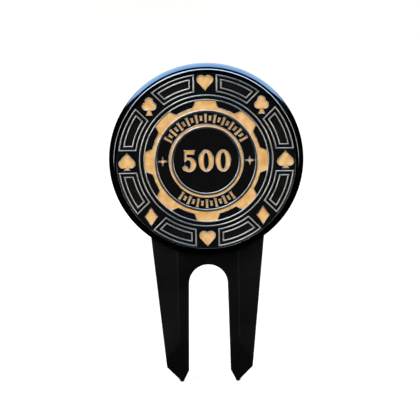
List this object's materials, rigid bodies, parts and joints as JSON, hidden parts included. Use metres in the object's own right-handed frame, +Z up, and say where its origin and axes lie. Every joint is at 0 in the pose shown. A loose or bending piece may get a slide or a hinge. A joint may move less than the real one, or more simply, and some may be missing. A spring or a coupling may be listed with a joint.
{
  "type": "divot repair tool",
  "caption": "Two-pronged turf fork whose round head holds a lift-off magnetic ball marker in the form of a gaming chip.",
  "frame": {"origin": "midway between the two prong points, at the level of their ends and the middle of the prongs' thickness", "axes": "+Z up from the points to the head, -Y the way the marker faces, +X to the right of someone who looks at the marker's face"},
  "size_m": [0.042, 0.005, 0.0708],
  "materials": {
    "black_coating": "satin",
    "magnet_nickel": "polished",
    "glue": "satin",
    "black_nickel": "gloss",
    "gold_enamel": "gloss",
    "black_enamel": "gloss"
  },
  "bodies": {
    "fork": {"fork_body": "black_coating", "head_magnet": "magnet_nickel", "magnet_glue": "glue"},
    "marker": {"marker_coin": "black_nickel", "gear_gold": "gold_enamel", "thin_ring_gold": "gold_enamel", "heart_gold": "gold_enamel", "club_gold": "gold_enamel", "spade_gold": "gold_enamel", "diamond_gold": "gold_enamel", "star_gold": "gold_enamel", "tick_gold": "gold_enamel", "numeral_gold": "gold_enamel", "middle_black": "black_enamel", "legend_black": "black_enamel", "tooth_gap_black": "black_enamel", "channel_black": "black_enamel", "suit_band_black": "black_enamel"}
  },
  "joints": [
    {"name": "marker_lift", "type": "slide", "parent": "fork", "child": "marker", "axis": [0, -1, 0], "range_m": [0, 0.02]}
  ]
}
